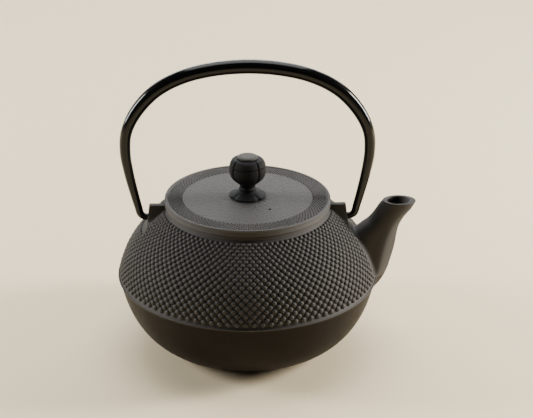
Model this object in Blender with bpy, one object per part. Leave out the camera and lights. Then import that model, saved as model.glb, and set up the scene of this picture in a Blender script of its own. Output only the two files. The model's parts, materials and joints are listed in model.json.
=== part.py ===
"""A cast-iron teapot with a bail handle, a lift-off lid and a steel tea infuser, at its real size.

The pot's axis is Z, its flat base stands on the plane z = 0, and the spout points along +X.
Sizes below are in millimetres, heights are above the table, and MM turns them into metres.
"""

import math

import bmesh
import bpy
from mathutils import Vector
from mathutils.geometry import interpolate_bezier

MM = 0.001

# Clearance between pieces that rest on each other or pass through each other.
GAP = 0.3

# Facets round the turned pieces.
POT_STEPS = 60
BASKET_STEPS = 48
KNOB_STEPS = 48
RIVET_STEPS = 24

# Pot body. The belt is the widest line, where the studded shoulder overhangs the lower bowl.
BASE_RADIUS = 46.0
BELT_RADIUS = 84.0
BELT_HEIGHT = 48.0
BOWL_RADIUS = 82.8
BOWL_TOP = 46.6
COLLAR_RADIUS = 53.2
COLLAR_FOOT = 92.9
COLLAR_TOP = 95.3
SHOULDER_TOP_RADIUS = 54.5
WALL = 3.4
FLOOR = 4.0
MOUTH_RADIUS = 47.5
LEDGE_HEIGHT = 91.0
LEDGE_BORE = 43.0
LEDGE_UNDERSIDE = 86.5

# Lugs that carry the bail, cast as tapered ears on the shoulder.
LUG_TOP = 94.4
LUG_FOOT = 78.0
LUG_TOP_REACH = 62.9
LUG_FOOT_REACH = 65.3
LUG_TOP_HALF_WIDTH = 1.8
LUG_FOOT_HALF_WIDTH = 7.2
LUG_ROOT = 50.0
LUG_EDGE = 0.8
PIVOT_HEIGHT = 86.3
PIN_RADIUS = 2.0
PIN_TIP = 59.4
BORE_END = 58.8

# Spout: stations from the root to the mouth, each the inner and the outer point of the tube in
# the XZ plane, half its width along Y, and how far its section is a flat-sided keel (1) or oval (0).
SPOUT = [
    ((68.0, 44.0), (82.0, 34.0), 10.0, 1.0),
    ((66.0, 50.0), (87.2, 41.5), 11.6, 1.0),
    ((66.0, 57.0), (90.6, 48.6), 12.0, 1.0),
    ((66.0, 66.0), (93.2, 57.5), 11.6, 1.0),
    ((67.5, 74.5), (95.2, 66.0), 10.6, 1.0),
    ((72.5, 79.5), (96.2, 73.5), 9.6, 0.9),
    ((77.6, 83.8), (97.6, 80.0), 8.8, 0.6),
    ((81.2, 88.8), (100.6, 85.8), 8.3, 0.3),
    ((84.3, 93.8), (105.0, 91.4), 8.0, 0.1),
    ((86.3, 96.8), (107.7, 96.8), 8.0, 0.0),
]
KEEL_SECTION = [
    (1.0, 0.0), (0.97, 0.22), (0.84, 0.45), (0.66, 0.74), (0.47, 0.95), (0.26, 1.0), (0.0, 1.0),
    (-0.26, 1.0), (-0.52, 0.96), (-0.74, 0.84), (-0.9, 0.6), (-0.97, 0.3), (-1.0, 0.0),
]
CHANNEL = [
    ((62.0, 61.0), (68.0, 50.0), 6.4),
    ((72.0, 69.5), (79.0, 57.5), 6.3),
    ((78.6, 77.6), (88.6, 70.0), 6.0),
    ((83.0, 85.6), (94.6, 81.0), 5.8),
    ((87.0, 92.2), (99.6, 89.8), 5.8),
    ((89.2, 96.8), (103.4, 96.8), 6.0),
    ((90.4, 99.8), (104.8, 99.8), 6.0),
]

# Lid and its knob.
LID_RADIUS = 52.9
LID_RIM_TOP = 100.0
LID_PLATE_RADIUS = 50.4
LID_PLATE_EDGE = 99.2
LID_PLATE_CENTRE = 100.6
LID_PLATE = 3.4
LIP_RADIUS = 46.8
LIP_INNER_RADIUS = 44.2
LIP_BOTTOM = 93.2
RIVET_RADIUS = 1.9
VENT_RADIUS = 1.1
VENT_PLACE = (13.5, -21.0)
KNOB_TOP = 126.2
KNOB_LOBES = 4
GROOVE_ANGLE = math.radians(-52.5)
GROOVE_DEPTH = 0.55
FOOT_HEIGHT = 104.6
FOOT_SCALLOP = 0.17
HEAD_RADIUS = 6.5
HEAD_THICKNESS = 1.5
WASHER_RADIUS = 5.5
WASHER_THICKNESS = 1.0

# Bail handle: its centre line from the apex down one side, with the rod's radius at each point.
BAIL_SIDE = [
    (0.0, 187.1, 4.5), (22.0, 185.3, 4.45), (41.0, 180.3, 4.4), (57.0, 171.5, 4.35),
    (69.0, 158.5, 4.1), (75.8, 144.5, 3.65), (77.0, 130.5, 3.45), (75.0, 116.0, 3.1),
    (72.2, 103.0, 2.75), (69.9, 93.6, 2.5), (68.6, 88.6, 2.35), (66.4, 86.5, 2.15),
]
BAIL_POINTS_PER_SPAN = 2

# Infuser: a steel rim that hangs on the pot's ledge, a mesh wall, a bottom band and a mesh floor.
RIM_RADIUS = 46.6
RIM_THICKNESS = 1.0
SKIRT_RADIUS = 42.3
SKIRT_WALL = 0.7
SKIRT_BOTTOM = 85.0
MESH_TOP_RADIUS = 41.3
MESH_BOTTOM_RADIUS = 38.2
MESH_WALL = 0.7
MESH_TOP = 90.6
BASKET_BOTTOM = 43.0
BAND_HEIGHT = 5.0
BAND_WALL = 0.6
BAND_LIP = 3.2

# Colours, roughness and metallic values.
CAST_IRON = ((0.055, 0.050, 0.047, 1.0), 0.55, 0.6)
LID_IRON = ((0.075, 0.072, 0.068, 1.0), 0.6, 0.6)
KNOB_BLACK = ((0.016, 0.015, 0.015, 1.0), 0.32, 0.5)
RIVET_IRON = ((0.09, 0.088, 0.08, 1.0), 0.45, 0.7)
LACQUER = ((0.006, 0.006, 0.006, 1.0), 0.12, 0.2)
STEEL = ((0.62, 0.61, 0.59, 1.0), 0.28, 1.0)


def clear_scene():
    """Removes every object, so that the script gives the same result in any file."""
    for obj in list(bpy.data.objects):
        bpy.data.objects.remove(obj, do_unlink=True)


def material(name, look):
    """A Principled material from its colour, roughness and metallic value."""
    colour, roughness, metallic = look
    mat = bpy.data.materials.new(name)
    mat.use_nodes = True
    shader = mat.node_tree.nodes["Principled BSDF"]
    shader.inputs["Base Color"].default_value = colour
    shader.inputs["Roughness"].default_value = roughness
    shader.inputs["Metallic"].default_value = metallic
    mat.diffuse_color = colour
    return mat


def body_empty(name, height):
    """An empty on a moving body's joint axis, which its pieces are parented to."""
    empty = bpy.data.objects.new(name, None)
    empty.location = (0.0, 0.0, height * MM)
    bpy.context.scene.collection.objects.link(empty)
    return empty


def add_piece(name, bm, mat, body=None):
    """Makes the object of one piece, with its origin at its body's empty."""
    bmesh.ops.recalc_face_normals(bm, faces=bm.faces)
    if body:
        bmesh.ops.translate(bm, vec=-body.location, verts=bm.verts)
    mesh = bpy.data.meshes.new(name)
    bm.to_mesh(mesh)
    bm.free()
    mesh.shade_smooth()
    mesh.set_sharp_from_angle(angle=math.radians(35))
    obj = bpy.data.objects.new(name, mesh)
    obj.parent = body
    bpy.context.scene.collection.objects.link(obj)
    if mat:
        mesh.materials.append(mat)
    return obj


def add_tool(name, bm):
    """A helper solid that a Boolean joins or cuts with, left out of the render."""
    tool = add_piece(name, bm, None)
    tool.hide_render = True
    tool.display_type = "WIRE"
    return tool


def add_boolean(obj, tool, operation):
    """Joins or cuts the object with the helper solid."""
    modifier = obj.modifiers.new(f"{operation.lower()} {tool.name}", "BOOLEAN")
    modifier.operation = operation
    modifier.solver = "EXACT"
    modifier.object = tool


def turned(outline, steps):
    """Turns (radius, height) points about Z. An outline that stays off the axis closes on itself."""
    bm = bmesh.new()
    verts = [bm.verts.new((radius * MM, 0.0, height * MM)) for radius, height in outline]
    edges = [bm.edges.new(pair) for pair in zip(verts, verts[1:])]
    if outline[0][0] > 0:
        edges.append(bm.edges.new((verts[-1], verts[0])))
    bmesh.ops.spin(
        bm, geom=verts + edges, cent=(0, 0, 0), axis=(0, 0, 1), angle=2 * math.pi,
        steps=steps, use_merge=True,
    )
    bmesh.ops.remove_doubles(bm, verts=bm.verts, dist=1e-6)
    return bm


def lofted(rings):
    """A closed solid that is extruded from ring to ring, each a list of points in metres."""
    bm = bmesh.new()
    bmesh.ops.create_circle(bm, cap_ends=True, radius=1.0, segments=len(rings[0]))
    bm.faces.ensure_lookup_table()
    face = bm.faces[0]
    for vert, point in zip(face.verts, rings[0]):
        vert.co = point
    for ring in rings[1:]:
        face = bmesh.ops.extrude_discrete_faces(bm, faces=[face])["faces"][0]
        for vert, point in zip(face.verts, ring):
            vert.co = point
    bmesh.ops.holes_fill(bm, edges=[edge for edge in bm.edges if edge.is_boundary])
    return bm


def curve_points(start, start_handle, end_handle, end, count):
    """(radius, height) points along one cubic curve, its two ends included."""
    knots = [Vector((x, z, 0.0)) for x, z in (start, start_handle, end_handle, end)]
    return [(point.x, point.y) for point in interpolate_bezier(*knots, count)]


def inset(points, wall):
    """Moves an outline that runs upwards towards the inside of the pot by the wall's thickness."""
    moved = []
    for index, (radius, height) in enumerate(points):
        before = points[max(index - 1, 0)]
        after = points[min(index + 1, len(points) - 1)]
        along = Vector((after[0] - before[0], after[1] - before[1])).normalized()
        moved.append((radius - along.y * wall, height + along.x * wall))
    return moved


def bowl_outline(count):
    """The lower bowl's outside, from the base to under the belt."""
    return curve_points((BASE_RADIUS, 0.0), (74.0, 7.0), (80.5, 34.0), (BOWL_RADIUS, BOWL_TOP), count)


def shoulder_outline(count):
    """The studded shoulder's outside over the stud tips, from the belt to the collar."""
    top = (SHOULDER_TOP_RADIUS, COLLAR_FOOT)
    return curve_points((BELT_RADIUS, BELT_HEIGHT), (79.2, 69.5), (70.3, 77.8), top, count)


def pot_outside():
    """The pot's outside as a filled solid, from the base up to the collar."""
    belt = [(83.5, 46.8), (BELT_RADIUS, 47.3)]
    collar = [(COLLAR_RADIUS, COLLAR_FOOT + 0.4), (COLLAR_RADIUS, COLLAR_TOP), (0.0, COLLAR_TOP)]
    return turned([(0.0, 0.0)] + bowl_outline(7) + belt + shoulder_outline(8) + collar, POT_STEPS)


def pot_inside():
    """The hollow: the belly, the ledge that the infuser hangs on, and the mouth above it."""
    lower = [point for point in inset(bowl_outline(7), WALL) if point[1] > FLOOR + 1.0]
    upper = [point for point in inset(shoulder_outline(8), WALL) if point[1] < 77.0]
    neck = [
        (52.0, 84.5), (LEDGE_BORE, LEDGE_UNDERSIDE), (LEDGE_BORE, LEDGE_HEIGHT),
        (MOUTH_RADIUS, LEDGE_HEIGHT), (MOUTH_RADIUS, COLLAR_TOP + 5.0), (0.0, COLLAR_TOP + 5.0),
    ]
    floor = [(0.0, FLOOR), (lower[0][0] - 6.0, FLOOR)]
    return turned(floor + lower + upper + neck, POT_STEPS)


def spout_ring(inner, outer, half_width, keel):
    """One section of the spout: a ring in the plane that holds both points and runs along Y."""
    middle = (Vector(inner) + Vector(outer)) / 2
    reach = (Vector(outer) - Vector(inner)) / 2
    half = []
    for index, (keel_out, keel_side) in enumerate(KEEL_SECTION):
        angle = index * math.pi / (len(KEEL_SECTION) - 1)
        out = keel * keel_out + (1 - keel) * math.cos(angle)
        side = (keel * keel_side + (1 - keel) * math.sin(angle)) * half_width
        half.append((out, side))
    round_trip = half + [(out, -side) for out, side in half[-2:0:-1]]
    return [
        Vector((middle.x + reach.x * out, side, middle.y + reach.y * out)) * MM for out, side in round_trip
    ]


def spout_outside():
    """The spout as a filled solid, its root buried in the pot's wall."""
    return lofted([spout_ring(*station) for station in SPOUT])


def spout_channel():
    """The bore of the spout, from inside the belly to past the mouth."""
    return lofted([spout_ring(inner, outer, half, 0.0) for inner, outer, half in CHANNEL])


def lug(side):
    """One tapered ear, on the +X side for side 1 and the -X side for side -1."""
    rings = []
    for height, reach, half in (
        (LUG_FOOT, LUG_FOOT_REACH, LUG_FOOT_HALF_WIDTH),
        (LUG_TOP, LUG_TOP_REACH, LUG_TOP_HALF_WIDTH),
    ):
        corners = ((LUG_ROOT, -half), (reach, -half), (reach, half), (LUG_ROOT, half))
        rings.append([Vector((side * x, y, height)) * MM for x, y in corners])
    bm = lofted(rings)
    buried = (LUG_ROOT + 1.0) * MM
    outer = [edge for edge in bm.edges if all(abs(vert.co.x) > buried for vert in edge.verts)]
    bmesh.ops.bevel(
        bm, geom=outer, offset=LUG_EDGE * MM, affect="EDGES", segments=2, profile=0.5,
        material=-1, clamp_overlap=True,
    )
    return bm


def lug_bore(side):
    """The blind hole that one end of the bail turns in."""
    length = (LUG_FOOT_REACH + 2.0 - BORE_END) * MM
    radius = (PIN_RADIUS + GAP) * MM
    bm = bmesh.new()
    bmesh.ops.create_cone(
        bm, cap_ends=True, segments=16, radius1=radius, radius2=radius, depth=length
    )
    bmesh.ops.rotate(bm, verts=bm.verts, cent=(0, 0, 0), matrix=quarter_turn())
    centre = Vector((side * (BORE_END * MM + length / 2), 0.0, PIVOT_HEIGHT * MM))
    bmesh.ops.translate(bm, verts=bm.verts, vec=centre)
    return bm


def quarter_turn():
    """The turn that lays a shape from the Z axis onto the X axis."""
    return Vector((0, 0, 1)).rotation_difference(Vector((1, 0, 0))).to_matrix()


def add_pot_body():
    """The pot: one hollow casting with its spout and its two lugs."""
    body = add_piece("pot_body", pot_outside(), material("cast iron", CAST_IRON))
    add_boolean(body, add_tool("spout_outside", spout_outside()), "UNION")
    for name, side in (("spout_side_lug", 1), ("far_side_lug", -1)):
        add_boolean(body, add_tool(name, lug(side)), "UNION")
    add_boolean(body, add_tool("belly", pot_inside()), "DIFFERENCE")
    add_boolean(body, add_tool("spout_channel", spout_channel()), "DIFFERENCE")
    for name, side in (("spout_side_bore", 1), ("far_side_bore", -1)):
        add_boolean(body, add_tool(name, lug_bore(side)), "DIFFERENCE")


def lid_height(radius):
    """Height of the lid plate's slightly domed top at a radius."""
    rise = LID_PLATE_CENTRE - LID_PLATE_EDGE
    return LID_PLATE_CENTRE - rise * (radius / LID_PLATE_RADIUS) ** 2


def add_lid(body):
    """The lid: a domed plate in a raised rim, with a locating lip below and a steam vent."""
    seat = COLLAR_TOP + GAP
    hole = RIVET_RADIUS + GAP
    plate = [(radius, lid_height(radius)) for radius in (LID_PLATE_RADIUS, 36.0, 20.0, hole)]
    under = [(hole, LID_PLATE_CENTRE - LID_PLATE), (8.0, LID_PLATE_CENTRE - LID_PLATE)]
    under.append((LIP_INNER_RADIUS, LID_PLATE_EDGE - LID_PLATE))
    rim = [
        (LIP_INNER_RADIUS, LIP_BOTTOM), (LIP_RADIUS, LIP_BOTTOM), (LIP_RADIUS, seat), (LID_RADIUS, seat),
        (LID_RADIUS, LID_RIM_TOP - 0.5), (52.2, LID_RIM_TOP), (51.3, LID_RIM_TOP),
    ]
    lid = add_piece("lid", turned(rim + plate + under, POT_STEPS), material("lid iron", LID_IRON), body)
    vent = bmesh.new()
    radius = VENT_RADIUS * MM
    bmesh.ops.create_cone(
        vent, cap_ends=True, segments=12, radius1=radius, radius2=radius, depth=20 * MM
    )
    place = Vector((VENT_PLACE[0], VENT_PLACE[1], LID_PLATE_EDGE)) * MM
    bmesh.ops.translate(vent, verts=vent.verts, vec=place)
    add_boolean(lid, add_tool("steam_vent", vent), "DIFFERENCE")


def knob_outline():
    """The knob from its top round to its foot: a ball on a neck above a flared foot."""
    hole = RIVET_RADIUS + GAP
    ball = [
        (hole, KNOB_TOP), (6.4, KNOB_TOP), (8.8, 125.9), (10.1, 125.0), (11.0, 123.3),
        (11.5, 121.9), (11.1, 121.5), (11.6, 121.1), (11.8, 119.0), (11.5, 116.0),
        (10.3, 113.4), (8.0, 111.0), (5.6, 109.4),
    ]
    neck = [(4.9, 108.2), (4.9, 107.0), (5.5, 106.0), (5.5, 105.2)]
    foot_bottom = lid_height(hole) + GAP
    foot = [(5.4, FOOT_HEIGHT), (7.4, 103.2), (10.4, 102.2), (11.8, 101.5)]
    foot += [(11.8, foot_bottom), (hole, foot_bottom)]
    return ball + neck + foot


def add_knob(body):
    """The knob: its ball is grooved into petals and its foot is scalloped, both four to the turn."""
    bm = turned(knob_outline(), KNOB_STEPS)
    for vert in bm.verts:
        radius = math.hypot(vert.co.x, vert.co.y)
        if radius < (RIVET_RADIUS + 2.0) * MM:
            continue
        turn = math.atan2(vert.co.y, vert.co.x) - GROOVE_ANGLE
        closeness = abs(math.cos(turn * KNOB_LOBES / 2))
        if vert.co.z > 109 * MM:
            pull = GROOVE_DEPTH * MM if closeness > 0.99 else 0.0
        elif vert.co.z < FOOT_HEIGHT * MM + 1e-6:
            pull = FOOT_SCALLOP * closeness ** 6 * (radius - 5.0 * MM)
        else:
            pull = 0.0
        vert.co.xy *= 1 - pull / radius
    add_piece("knob", bm, material("knob black", KNOB_BLACK), body)


def add_rivet(body):
    """The rivet that holds the knob: a flat head on the knob, its stem peened under the washer."""
    washer_top = LID_PLATE_CENTRE - LID_PLATE - GAP
    tail = washer_top - WASHER_THICKNESS - GAP
    head = KNOB_TOP + GAP
    outline = [
        (0.0, tail - 1.3), (2.2, tail - 1.3), (3.3, tail - 0.7), (3.3, tail), (RIVET_RADIUS, tail),
        (RIVET_RADIUS, head), (HEAD_RADIUS, head), (HEAD_RADIUS, head + HEAD_THICKNESS - 0.5),
        (HEAD_RADIUS - 0.5, head + HEAD_THICKNESS), (0.0, head + HEAD_THICKNESS),
    ]
    iron = material("rivet iron", RIVET_IRON)
    add_piece("knob_rivet", turned(outline, RIVET_STEPS), iron, body)
    hole = RIVET_RADIUS + GAP
    bottom = washer_top - WASHER_THICKNESS
    ring = [(hole, bottom), (WASHER_RADIUS, bottom), (WASHER_RADIUS, washer_top), (hole, washer_top)]
    add_piece("rivet_washer", turned(ring, RIVET_STEPS), iron, body)


def smooth_run(knots, per_span):
    """Points on a smooth curve through the knots, which hold place and radius together."""
    ends = [2 * knots[0] - knots[1]] + knots + [2 * knots[-1] - knots[-2]]
    run = []
    for before, start, end, after in zip(ends, ends[1:], ends[2:], ends[3:]):
        for step in range(per_span):
            share = step / per_span
            slope_in, slope_out = (end - before) / 2, (after - start) / 2
            drift = (2 * (start - end) + slope_in + slope_out) * share**3
            bend = (3 * (end - start) - 2 * slope_in - slope_out) * share**2
            run.append(drift + bend + slope_in * share + start)
    return run + [knots[-1]]


def add_bail(body):
    """The bail: one rod, thick over the top and thin at the ends, which turn in to the lugs as pins."""
    side = smooth_run([Vector(point) for point in BAIL_SIDE], BAIL_POINTS_PER_SPAN)
    pin = [Vector((63.6, PIVOT_HEIGHT, PIN_RADIUS)), Vector((PIN_TIP, PIVOT_HEIGHT, PIN_RADIUS))]
    right = side + pin
    left = [Vector((-x, z, radius)) for x, z, radius in right[:0:-1]]
    path = left + right
    curve = bpy.data.curves.new("bail_handle", "CURVE")
    curve.dimensions = "3D"
    curve.bevel_depth = MM
    curve.bevel_resolution = 4
    curve.use_fill_caps = True
    spline = curve.splines.new("POLY")
    spline.points.add(len(path) - 1)
    for point, (x, z, radius) in zip(spline.points, path):
        point.co = (x * MM, 0.0, (z - PIVOT_HEIGHT) * MM, 1.0)
        point.radius = radius
    spline.use_smooth = True
    curve.materials.append(material("black lacquer", LACQUER))
    bail = bpy.data.objects.new("bail_handle", curve)
    bail.parent = body
    bpy.context.scene.collection.objects.link(bail)


def add_infuser(body):
    """The infuser basket's four steel pieces, which are spot welded on the real one."""
    steel = material("stainless steel", STEEL)
    flange = LEDGE_HEIGHT + GAP
    skirt_inner = SKIRT_RADIUS - SKIRT_WALL
    rim = [
        (SKIRT_RADIUS, SKIRT_BOTTOM), (SKIRT_RADIUS, flange), (RIM_RADIUS, flange),
        (RIM_RADIUS, flange + RIM_THICKNESS), (skirt_inner, flange + RIM_THICKNESS),
        (skirt_inner, SKIRT_BOTTOM),
    ]
    add_piece("infuser_rim", turned(rim, BASKET_STEPS), steel, body)
    wall_foot = BASKET_BOTTOM + BAND_WALL + 2 * GAP + MESH_WALL
    wall = [
        (MESH_BOTTOM_RADIUS, wall_foot), (MESH_TOP_RADIUS, SKIRT_BOTTOM - 2.0), (MESH_TOP_RADIUS, MESH_TOP),
        (MESH_TOP_RADIUS - MESH_WALL, MESH_TOP), (MESH_TOP_RADIUS - MESH_WALL, SKIRT_BOTTOM - 2.0),
        (MESH_BOTTOM_RADIUS - MESH_WALL, wall_foot),
    ]
    add_piece("infuser_mesh_wall", turned(wall, BASKET_STEPS), steel, body)
    slope = (MESH_TOP_RADIUS - MESH_BOTTOM_RADIUS) / (SKIRT_BOTTOM - 2.0 - wall_foot)
    band_top = BASKET_BOTTOM + BAND_HEIGHT
    inner = MESH_BOTTOM_RADIUS + GAP + slope * (band_top - wall_foot)
    lip = MESH_BOTTOM_RADIUS - BAND_LIP
    band = [
        (lip, BASKET_BOTTOM), (inner + BAND_WALL, BASKET_BOTTOM), (inner + BAND_WALL, band_top),
        (inner, band_top), (inner, BASKET_BOTTOM + BAND_WALL), (lip, BASKET_BOTTOM + BAND_WALL),
    ]
    add_piece("infuser_base_band", turned(band, BASKET_STEPS), steel, body)
    disc_bottom = BASKET_BOTTOM + BAND_WALL + GAP
    disc_radius = MESH_BOTTOM_RADIUS - 0.5
    disc = [(0.0, disc_bottom), (disc_radius, disc_bottom), (disc_radius, disc_bottom + MESH_WALL)]
    disc.append((0.0, disc_bottom + MESH_WALL))
    add_piece("infuser_mesh_floor", turned(disc, BASKET_STEPS), steel, body)


def main():
    """Builds every piece: the pot stands still, and the bail, the infuser and the lid each move."""
    clear_scene()
    add_pot_body()
    add_bail(body_empty("handle_pivot", PIVOT_HEIGHT))
    add_infuser(body_empty("infuser_lift", LEDGE_HEIGHT))
    lid_body = body_empty("lid_lift", COLLAR_TOP)
    add_lid(lid_body)
    add_knob(lid_body)
    add_rivet(lid_body)


main()
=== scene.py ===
import json
import math
import random
from bisect import bisect_right
from functools import lru_cache

import bmesh
import bpy
from bpy.props import FloatProperty, FloatVectorProperty, IntProperty, PointerProperty
from bpy.types import Operator, Panel, PropertyGroup
from mathutils import Matrix, Vector, noise
from mathutils.bvhtree import BVHTree
from mathutils.geometry import interpolate_bezier


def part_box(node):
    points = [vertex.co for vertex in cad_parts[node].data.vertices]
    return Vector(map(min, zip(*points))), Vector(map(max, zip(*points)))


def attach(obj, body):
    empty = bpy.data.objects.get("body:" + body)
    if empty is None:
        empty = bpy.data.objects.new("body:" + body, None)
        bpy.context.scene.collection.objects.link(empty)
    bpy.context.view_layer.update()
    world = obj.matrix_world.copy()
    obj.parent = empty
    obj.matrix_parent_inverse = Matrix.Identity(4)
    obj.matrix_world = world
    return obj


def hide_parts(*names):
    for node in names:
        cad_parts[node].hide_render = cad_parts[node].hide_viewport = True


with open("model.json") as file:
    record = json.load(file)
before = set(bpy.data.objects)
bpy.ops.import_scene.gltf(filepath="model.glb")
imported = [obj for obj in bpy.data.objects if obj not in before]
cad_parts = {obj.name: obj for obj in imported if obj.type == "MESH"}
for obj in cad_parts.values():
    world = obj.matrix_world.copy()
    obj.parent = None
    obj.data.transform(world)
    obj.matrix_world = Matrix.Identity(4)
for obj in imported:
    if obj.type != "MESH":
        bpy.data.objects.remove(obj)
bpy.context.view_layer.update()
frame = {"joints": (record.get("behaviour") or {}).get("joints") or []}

bl_info = {
    "name": "Cast-iron teapot",
    "version": (1, 0, 0),
    "blender": (4, 5, 0),
    "location": "3D View > Sidebar > Teapot",
    "description": "Builds the visible surfaces of a studded cast-iron teapot around its packed model",
    "category": "Add Mesh",
}

# Sizes are in millimetres and MM turns them into metres. Z is the pot's axis, +X points to the spout.
MM = 0.001


def corners(node):
    """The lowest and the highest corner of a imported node, in millimetres."""
    low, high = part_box(node)
    return low / MM, high / MM


POT_LOW, POT_HIGH = corners("pot_body")
LID_LOW, LID_HIGH = corners("lid")
KNOB_LOW, KNOB_HIGH = corners("knob")
RIVET_LOW, RIVET_HIGH = corners("knob_rivet")
WASHER_LOW, WASHER_HIGH = corners("rivet_washer")
BAIL_LOW, BAIL_HIGH = corners("bail_handle")
RIM_LOW, RIM_HIGH = corners("infuser_rim")
BASKET_LOW, BASKET_HIGH = corners("infuser_mesh_wall")
BAND_LOW, BAND_HIGH = corners("infuser_base_band")
DISC_LOW, DISC_HIGH = corners("infuser_mesh_floor")
PIVOT_HEIGHT = next(j for j in frame["joints"] if j["name"] == "handle_swing")["pos_m"][2] / MM

# Pot: the belt is the widest line, where the studded shoulder overhangs the smooth bowl.
POT_STEPS = 240
BELT_RADIUS = -POT_LOW.x
BELT_HEIGHT = 48.0
FINISH_CHANGE = BELT_HEIGHT - 0.9
BASE_RADIUS = 46.0
COLLAR_RADIUS = LID_HIGH.x + 0.3
COLLAR_INSET = 0.9
COLLAR_TOP = LID_LOW.z + 2.1
COLLAR_FOOT = COLLAR_TOP - 2.4
WALL = 3.4
FLOOR = 4.0
MOUTH_RADIUS = 47.5
LEDGE_BORE = 43.0
LEDGE_TOP = RIM_HIGH.z - 1.3
LEDGE_UNDERSIDE = LEDGE_TOP - 4.5

# Studs on the shoulder. A row's place is its distance from the collar along the shoulder.
FIRST_ROW = 1.1
ROW_STEP = 2.2
ROW_SPREAD = 0.0095
STUD_ZONE = 53.2
BAND_START = 54.2
STUD_SIZE_AT_BELT = 1.9
STUD_FULLNESS = 1.03
STUD_SKIRT = 0.25
SPOUT_MARGIN = 0.9
LUG_MARGIN = 0.2

# Spout: stations from the root to the mouth, each the inner and the outer point of the tube in the
# XZ plane, half its width along Y, and how far its section is a flat-sided keel (1) or oval (0).
SPOUT = [
    (58.0, 40.0, 74.5, 28.0, 7.6, 1.0),
    (68.0, 44.0, 82.0, 35.0, 10.2, 1.0),
    (66.0, 50.0, 87.2, 41.5, 11.6, 1.0),
    (66.0, 57.0, 90.6, 48.6, 12.0, 1.0),
    (66.0, 66.0, 93.2, 57.5, 11.6, 1.0),
    (67.5, 74.5, 95.2, 66.0, 10.6, 1.0),
    (72.5, 79.5, 96.2, 73.5, 9.6, 0.9),
    (77.6, 83.8, 97.6, 80.0, 8.8, 0.6),
    (81.2, 88.8, 100.6, 85.8, 8.3, 0.3),
    (84.3, 93.8, 105.0, 91.4, 8.0, 0.1),
    (86.3, 96.2, POT_HIGH.x, 96.2, 8.0, 0.0),
]
KEEL_SECTION = [
    (1.0, 0.0), (0.97, 0.22), (0.84, 0.45), (0.66, 0.74), (0.47, 0.95), (0.26, 1.0), (0.0, 1.0),
    (-0.26, 1.0), (-0.52, 0.96), (-0.74, 0.84), (-0.9, 0.6), (-0.97, 0.3), (-1.0, 0.0),
]
BORE = [
    (54.0, 56.0, 60.0, 44.0, 6.4, 0.0),
    (62.0, 61.0, 68.0, 50.0, 6.4, 0.0),
    (72.0, 69.5, 79.0, 57.5, 6.3, 0.0),
    (78.6, 77.6, 88.6, 70.0, 6.0, 0.0),
    (83.0, 85.6, 94.6, 81.0, 5.8, 0.0),
    (87.0, 92.2, 99.6, 89.8, 5.8, 0.0),
    (89.2, 96.2, 103.4, 96.2, 6.0, 0.0),
]
MOUTH_ROUNDING = 0.6
SPOUT_SIDES = 168
SPOUT_SPAN_STEPS = 12
BORE_SIDES = 48
BORE_SPAN_STEPS = 5
SPOUT_FILLET = 2.6

# A flare starts this far below the skin it spreads onto, and fades out between these two depths.
FLARE_SINK = 0.35
FLARE_FADE = (-4.0, -1.0)

# Lugs: tapered ears on the shoulder, each with a blind bore for one end of the bail. A station is
# its height, how far out the lug reaches there and half its width.
LUG_ROOT = 50.0
LUG_STATIONS = [
    (77.0, 65.5, 8.0), (80.0, 64.9, 6.2), (84.0, 64.3, 4.6), (89.0, 63.6, 3.0), (94.4, 62.9, 1.9),
]
LUG_SPAN_STEPS = 12
LUG_FILLET = 1.2
PIN_RADIUS = 2.0
BORE_RADIUS = 2.3
BORE_START = 70.0
BORE_END = 58.8

# Lid: a plate in a raised rim bead. Studs fill its outer ring, and its middle has a cast grain.
LID_STEPS = 400
PLATE_RADIUS = 50.4
PLATE_EDGE = LID_HIGH.z - 1.4
PLATE_CENTRE = LID_HIGH.z
PLATE_THICKNESS = 3.4
RIM_TOP = LID_HIGH.z - 0.6
SEAT = COLLAR_TOP + 0.3
LIP_RADIUS = 46.8
LIP_INNER_RADIUS = 44.2
LID_STUD_RING = 41.6
LID_ROWS = 8
LID_ROW_STEP = 1.08
LID_STUD_FULLNESS = 0.95
LID_STUD_HEIGHT = 0.65
LID_STUD_SKIRT = 0.3
GRAIN_RADIUS = 40.6
LINE_DEPTH = 0.14
GRAIN_STEP = 0.5
VENT_PLACE = (13.5, -21.0)
VENT_RADIUS = 1.1

# Knob: a four-petalled ball on a neck and a scalloped foot.
KNOB_STEPS = 192
PETALS = 4
GROOVE_ANGLE = math.radians(-52.5)
EQUATOR = KNOB_LOW.z + 20.6
FOOT_TOP = KNOB_LOW.z + 3.7
RIVET_HOLE = 2.2
RIVET_STEPS = 72
BALL_DEPTH = 18.0
PETAL_CORNER = 1.6
GROOVE_HALF_WIDTH = 0.38

# Bail: its centre line from the apex down one side, with the rod's radius at each point.
BAIL_SIDE = [
    (0.0, 187.1, 4.5), (22.0, 185.3, 4.45), (41.0, 180.3, 4.4), (57.0, 171.5, 4.35),
    (69.0, 158.5, 4.1), (75.8, 144.5, 3.65), (77.0, 130.5, 3.45), (75.0, 116.0, 3.1),
    (72.2, 103.0, 2.75), (69.9, 93.6, 2.5), (68.6, 88.6, 2.35), (66.4, 86.5, 2.15),
]
PIN_TIP = 59.4
BAIL_SIDES = 28
BAIL_SPAN_STEPS = 11

# Infuser basket: the wire's thickness, how far below the rim the basket starts to narrow, and steps.
WIRE = 0.26
NARROWS_BELOW_RIM = 2.0
BASKET_STEPS = 160
RING_WIRE_STEPS = 120


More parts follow.
